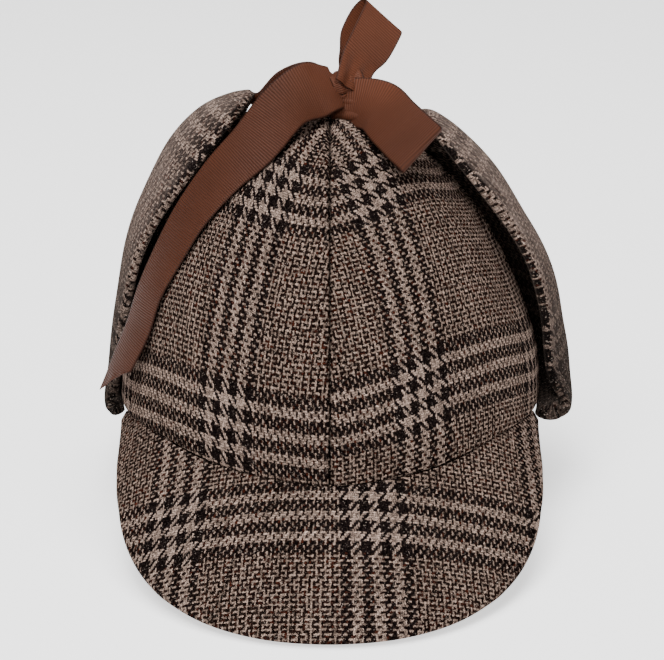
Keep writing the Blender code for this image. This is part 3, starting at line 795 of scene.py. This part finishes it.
def peak(name, middle, material):
    span = 2.0 * clustered(PEAK_COLUMNS, 0.008) - 1.0
    depth = clustered(PEAK_STEPS, 0.02)
    azimuth = middle + span * PEAK_HALF_SPAN
    out = plan_outward(azimuth)
    seam = plan_point(azimuth)
    seam[..., 2] = rim_lift(azimuth) - PEAK_SEAM_GAP
    reach = PEAK_REACH * smooth_table(PEAK_ROWS, np.abs(span), 1)
    drop = PEAK_REACH * smooth_table(PEAK_ROWS, np.abs(span), 2)
    bulge = np.sin(math.pi * depth)[:, None] * PEAK_BULGE * (1.0 - np.abs(span))[None, :]
    surface = seam[None] + out[None] * (reach[None, :] * depth[:, None])[..., None]
    surface[..., 2] += bulge - drop[None, :] * depth[:, None]
    lip = np.stack([seam - out * PEAK_LIP * share for share in (1.0, 0.98)])
    surface = np.concatenate([lip, surface])
    normal = normals_of(surface)
    if normal[10, 60, 2] < 0:
        normal = -normal
    slope = lengths(surface, 0) - PEAK_LIP
    round_trip = lengths(surface, 1)
    edge_far = slope[-1:] - slope
    edge_side = np.minimum(round_trip, round_trip[:, -1:] - round_trip)
    full = edge_round(edge_far, PEAK_ROUND) * edge_round(edge_side, PEAK_ROUND)
    full[0] = 0.0
    dent = PEAK_DENT * noise_field(surface, PEAK_DENT_SIZE, PEAK_DENT_SEED)
    outer = surface + normal * dent[..., None]
    inner = surface - normal * PEAK_THICKNESS
    centre = (outer + inner) * 0.5
    outer = centre + (outer - centre) * full[..., None]
    inner = centre + (inner - centre) * full[..., None]
    # the peak is cut flat and bent round a cone, so the check arches over it
    cone = plan_radius(azimuth)[None, :] / math.cos(PEAK_DROOP)
    turned = np.radians(azimuth - middle)[None, :] * math.cos(PEAK_DROOP)
    away = cone + slope
    x = away * np.sin(turned)
    y = away * np.cos(turned) - CROWN_FRONT / math.cos(PEAK_DROOP)
    u = (x - PEAK_STRIPE) / WARP.pitch + WARP.cluster * 0.5
    v = (y - PEAK_BAND) / WEFT.pitch + WEFT.cluster * 0.5
    thing = build_mesh(name + "_cloth", outer, inner, np.stack([u, v], axis=-1))
    return dress(thing, material, name)


# ear flaps
FLAP_COLUMNS, FLAP_STEPS = 44, 110
FLAP_ROUND = 0.62
FLAP_PUFF, FLAP_PUFF_SIZE, FLAP_PUFF_SEED = 0.4 * MM, 0.03, 23
# how far the flaps lie from the middle of a cluster, in threads
FLAP_PLACE = (51.0, 48.0)
# the padding is thicker just above the fold: how much, how far down the cloth and how wide
ROLL_SWELL = 3.2 * MM
ROLL_PLACE = 9.0 * MM
ROLL_REACH = 7.0 * MM


def flap_rows(side, shares):
    """The flap's middle surface, from its fold under the rim to its tip."""
    data = FLAPS[side]
    nearest = FLAP_THICKNESS * 0.5 + FLAP_SEAM_GAP
    rows = []
    for front, back, standoff, drop in FOLD_ROWS:
        azimuth = front + (back - front) * shares
        grow = nearest + (data["fold"] if standoff > 0 else FOLD_TUCK) * standoff
        row = dome_point(side * azimuth, np.zeros_like(azimuth), grow)
        row[:, 2] += FLAP_BACK_LIFT * shares ** 2 - data["drop"] * drop
        rows.append(row)
    size = np.array((side * CROWN_HALF_WIDTH, CROWN_FRONT, CROWN_HEIGHT))
    for entry in data["rows"]:
        front, back = np.array(entry[:3]) * size, np.array(entry[3:6]) * size
        row = front + (back - front) * shares[:, None]
        arch = FLAP_ARCH * 4.0 * shares * (1.0 - shares)
        row[:, 0] += side * arch * entry[6]
        row[:, 2] += arch * entry[7]
        rows.append(row)
    return np.array(rows)


def refine(rows, places):
    """Read a stack of rows smoothly at places counted in rows."""
    last = len(rows) - 1
    index = np.minimum(places.astype(int), last - 1)
    share = (places - index)[:, None, None]
    around = [rows[np.clip(index + k, 0, last)] for k in (-1, 0, 1, 2)]
    return blend(*around, share)


def ear_flap(name, side, material):
    shares = clustered(FLAP_COLUMNS, 0.05)
    rows = flap_rows(side, shares)
    surface = refine(rows, clustered(FLAP_STEPS, 0.012) * (len(rows) - 1))
    normal = normals_of(surface) * side
    middle = surface[60, 25]
    if normal[60, 25] @ np.array((middle[0], 0.0, 0.0)) < 0:
        normal = -normal
    down, over = lengths(surface, 0), lengths(surface, 1)
    edge = np.minimum(over, over[:, -1:] - over)
    tip = down[-1:] - down
    radius = FLAP_THICKNESS * FLAP_ROUND
    full = edge_round(edge, radius) * edge_round(tip, radius) * edge_round(down, radius)
    puff = FLAP_PUFF * noise_field(surface, FLAP_PUFF_SIZE, FLAP_PUFF_SEED + side)
    half = FLAP_THICKNESS * 0.5
    outer = surface + normal * ((half + puff) * full)[..., None]
    roll = ROLL_SWELL * np.exp(-((down - ROLL_PLACE) / ROLL_REACH) ** 2)
    inner = surface - normal * ((half + roll) * full)[..., None]
    centre = over[:, -1:] * 0.5
    u = (over - centre) * side / WARP.pitch + WARP.cluster * 0.5 + FLAP_PLACE[0]
    v = down / WEFT.pitch + WEFT.cluster * 0.5 + FLAP_PLACE[1]
    thing = build_mesh(name + "_cloth", outer, inner, np.stack([u, v], axis=-1))
    if side > 0:
        thing.data.flip_normals()
    dress(thing, material, name)
    return thing


# ribbon
def unit(vector):
    return vector / np.linalg.norm(vector)


def across_way(turn, tilt):
    turn, tilt = math.radians(turn), math.radians(tilt)
    flat = math.cos(tilt)
    return np.array((flat * math.cos(turn), flat * math.sin(turn), math.sin(tilt)))


CROWN_SIZE = np.array((CROWN_HALF_WIDTH, CROWN_FRONT, CROWN_HEIGHT))
KNOT = np.array(KNOT_PLACE) * CROWN_SIZE
# how far a ribbon starts inside the knot's surface
KNOT_SINK = 1.2 * MM
RIBBON_STEPS = 14
# gathered folds: the width below which they start, how many, their start and their depth
GATHER_WIDTH = 0.88
GATHER_TURNS, GATHER_START, GATHER_DEPTH = 2.4, 0.6, 2.6 * MM
TAIL_SLANT = 0.6
TAIL_CURL = 0.0008
# the sections where a tie comes out of its flap: how far past the tip, and their width
TIE_PLACES = (-0.0015, 0.003)
TIE_WIDTH = 0.008


def crown_station(row):
    return np.array(row[:3]) * CROWN_SIZE, across_way(*row[3:5]), row[5] * RIBBON_WIDTH


def knot_station(row):
    return KNOT + np.array(row[:3]) * RIBBON_WIDTH, across_way(*row[3:5]), row[5] * RIBBON_WIDTH


def from_knot(toward, turn, tilt, width):
    way = unit(toward - KNOT)
    reach = 1.0 / np.linalg.norm(way / np.array(KNOT_HALF)) - KNOT_SINK
    side = across_way(turn, tilt)
    side = unit(side - way * (side @ way))
    return KNOT + way * reach, side, width * RIBBON_WIDTH


def ribbon_strip(name, node, stations, material, slant=0.0, curl=0.0):
    """A ribbon through its sections, with its ribs counted along it."""
    places = np.array([s[0] for s in stations])
    sides = np.array([s[1] for s in stations])
    widths = np.array([s[2] for s in stations])[:, None]
    spots = np.linspace(0.0, len(stations) - 1, (len(stations) - 1) * RIBBON_STEPS + 1)
    path = refine(places[:, None, :], spots)[:, 0]
    side = refine(sides[:, None, :], spots)[:, 0]
    width = refine(widths[:, None, :], spots)[:, 0, 0]
    along = np.gradient(path, axis=0)
    along /= np.linalg.norm(along, axis=1, keepdims=True)
    side = side - along * np.sum(side * along, axis=1, keepdims=True)
    side /= np.linalg.norm(side, axis=1, keepdims=True)
    cells = np.concatenate([[-1.0, -0.985], np.linspace(-0.94, 0.94, 17), [0.985, 1.0]])
    surface = path[:, None] + side[:, None] * (width[:, None] * 0.5 * cells[None])[..., None]
    lean = np.clip((spots - spots[-1] + 1.0), 0.0, 1.0)
    reach = RIBBON_WIDTH * 0.5 * slant
    surface = surface + along[:, None] * (lean[:, None] * reach * cells[None])[..., None]
    normal = np.cross(side, along)
    # where it is drawn in toward the knot, the ribbon gathers into soft folds across its width
    gathered = np.clip(GATHER_WIDTH - width / RIBBON_WIDTH, 0.0, 1.0)
    wave = np.sin(cells * GATHER_TURNS * math.pi + GATHER_START)
    fold = wave[None] * gathered[:, None] * GATHER_DEPTH
    bow = curl * (1.0 - cells ** 2)[None] * np.ones_like(gathered)[:, None]
    surface = surface + normal[:, None] * (fold + bow)[..., None]
    run = np.concatenate([[0.0], np.cumsum(np.linalg.norm(np.diff(path, axis=0), axis=1))])
    full = np.ones(surface.shape[:2])
    full[:, 0] = full[:, -1] = 0.0
    full[:, 1] = full[:, -2] = 0.8
    full[0] = full[-1] = 0.0
    half = RIBBON_THICKNESS * 0.5 * full
    facing = normals_of(surface)
    outer = surface + facing * half[..., None]
    inner = surface - facing * half[..., None]
    u = np.broadcast_to(cells[None] * RIBBON_WIDTH * 0.5, surface.shape[:2])
    v = np.broadcast_to(run[:, None], surface.shape[:2]) + lean[:, None] * reach * cells[None]
    thing = build_mesh(name, outer, inner, np.stack([u, v], axis=-1))
    dress(thing, material, node)


KNOT_TURNS, KNOT_CELLS = 64, 25
KNOT_WAY = (20.0, 12.0)
KNOT_UP = (0.10, -0.15, 1.0)
KNOT_WAIST = 0.16
KNOT_CREASE = 0.35 * MM
KNOT_SHELL = 1.1 * MM
KNOT_CLOSE = 0.5 * MM


def knot_band(material):
    """The turn of ribbon wrapped round the bow's middle."""
    angle = np.linspace(0.0, 2.0 * math.pi, KNOT_TURNS)
    place = np.linspace(-1.0, 1.0, KNOT_CELLS)
    lean = across_way(*KNOT_WAY)
    up = unit(np.array(KNOT_UP))
    up = unit(up - lean * (up @ lean))
    front = np.cross(lean, up)
    half_wide, half_deep, half_high = KNOT_HALF
    rows = []
    for turn in angle:
        out = front * math.cos(turn) * half_deep + up * math.sin(turn) * half_high
        waist = 1.0 - KNOT_WAIST * place ** 2
        crease = KNOT_CREASE * np.sin(place * 9.0 + 0.8 * math.sin(turn * 2.0 + 1.0))
        row = KNOT + out * waist[:, None] + unit(out) * crease[:, None]
        spread = half_wide * (0.78 + 0.08 * math.sin(turn + 0.7))
        row = row + lean * (place * spread)[:, None]
        rows.append(row)
    surface = np.array(rows)
    off = surface - KNOT
    normal = off - np.outer(off.reshape(-1, 3) @ lean, lean).reshape(surface.shape)
    normal /= np.linalg.norm(normal, axis=-1, keepdims=True)
    full = edge_round(np.minimum(place + 1.0, 1.0 - place), 0.08)
    inner = surface - normal * (KNOT_SHELL * full)[None, :, None]
    outer = surface
    # close the ring by overlapping its two ends inside the knot
    outer[0] = inner[0] = surface[0] - normal[0] * KNOT_CLOSE
    outer[-1] = inner[-1] = surface[-1] - normal[-1] * KNOT_CLOSE
    u = np.broadcast_to(place[None] * RIBBON_WIDTH * 0.5, surface.shape[:2])
    v = np.broadcast_to((angle * half_high)[:, None], surface.shape[:2])
    thing = build_mesh("bow_knot_band", outer, inner, np.stack([u, v], axis=-1))
    dress(thing, material, "bow_knot")


def tip_stations(side):
    """Where a tie comes out of its flap's tip."""
    rows = flap_rows(side, np.array((0.0, 0.5, 1.0)))
    over = unit(rows[-1, 2] - rows[-1, 0])
    along = rows[-1, 1] - rows[-2, 1]
    along = unit(along - over * (along @ over))
    return [(rows[-1, 1] + along * distance, over, TIE_WIDTH) for distance in TIE_PLACES]


def make_ribbons(material):
    tail = [crown_station(row) for row in TAIL_LEFT]
    tail.insert(0, from_knot(tail[0][0], *TAIL_LEFT_ROOT))
    ribbon_strip(
        "tail_left_ribbon", "tail_left", tail, material,
        slant=TAIL_SLANT, curl=TAIL_CURL,
    )
    tail = [crown_station(row) for row in TAIL_BACK]
    tail.insert(0, from_knot(tail[0][0], *TAIL_BACK_ROOT))
    ribbon_strip("tail_back_ribbon", "tail_back", tail, material)
    loop = [crown_station(row) for row in LOOP_LOWER]
    loop = [knot_station(LOOP_LOWER_START), knot_station(LOOP_LOWER_ROOT)] + loop
    loop.append(knot_station(LOOP_LOWER_END))
    ribbon_strip("bow_loop_lower_ribbon", "bow_loop_lower", loop, material)
    loop = [knot_station(row) for row in LOOP_UPPER]
    loop.insert(0, knot_station(LOOP_UPPER_ROOT))
    loop.append(from_knot(loop[-1][0], *LOOP_UPPER_END))
    ribbon_strip("bow_loop_upper_ribbon", "bow_loop_upper", loop, material)
    for name, side, over in (("tie_left", -1, TIE_LEFT), ("tie_right", 1, TIE_RIGHT)):
        stations = tip_stations(side) + [crown_station(row) for row in over]
        stations.append(from_knot(stations[-1][0], *TIE_END))
        ribbon_strip(name + "_ribbon", name, stations, material)
    knot_band(material)


# stage
FLOOR_SIZE = 12.0
FLOOR_WHITE = (0.93, 0.93, 0.93, 1.0)
FLOOR_ROUGHNESS = 0.9
FLOOR_LIGHT = (1.0, 1.0, 1.0, 1.0)
FLOOR_GLOW = 1.15
FLOOR_BUMP = 0.05 * MM


def add_floor():
    bpy.ops.mesh.primitive_plane_add(size=FLOOR_SIZE, location=(0.0, 0.0, 0.0))
    floor = bpy.context.active_object
    floor.name = "floor"
    g = Graph("paper")
    g.shader.inputs["Base Color"].default_value = FLOOR_WHITE
    g.shader.inputs["Roughness"].default_value = FLOOR_ROUGHNESS
    g.shader.inputs["Emission Color"].default_value = FLOOR_LIGHT
    g.shader.inputs["Emission Strength"].default_value = FLOOR_GLOW
    g.link(g.bump(g.noise(300.0, 2.0, g.place()), FLOOR_BUMP), g.shader.inputs["Normal"])
    floor.data.materials.append(g.material)


add_camera()
add_soft_lights()
add_accent()
add_world()
add_floor()
wool = tweed("tweed_glen_check")
crown_wool = tweed("tweed_crown", seams=True)
# the flaps' wool has painted sheen streaks and painted shade towards the fold
flap_wool = tweed("tweed_flaps", sheen=0.03, painted_sheen=0.5)
for panel in PANELS:
    crown_panel(panel, crown_wool)
peak("front_peak", 0.0, wool)
peak("back_peak", 180.0, wool)
ear_flap("left_ear_flap", -1, flap_wool)
ear_flap("right_ear_flap", 1, flap_wool)
make_ribbons(grosgrain("ribbon_grosgrain"))

bpy.context.view_layer.update()
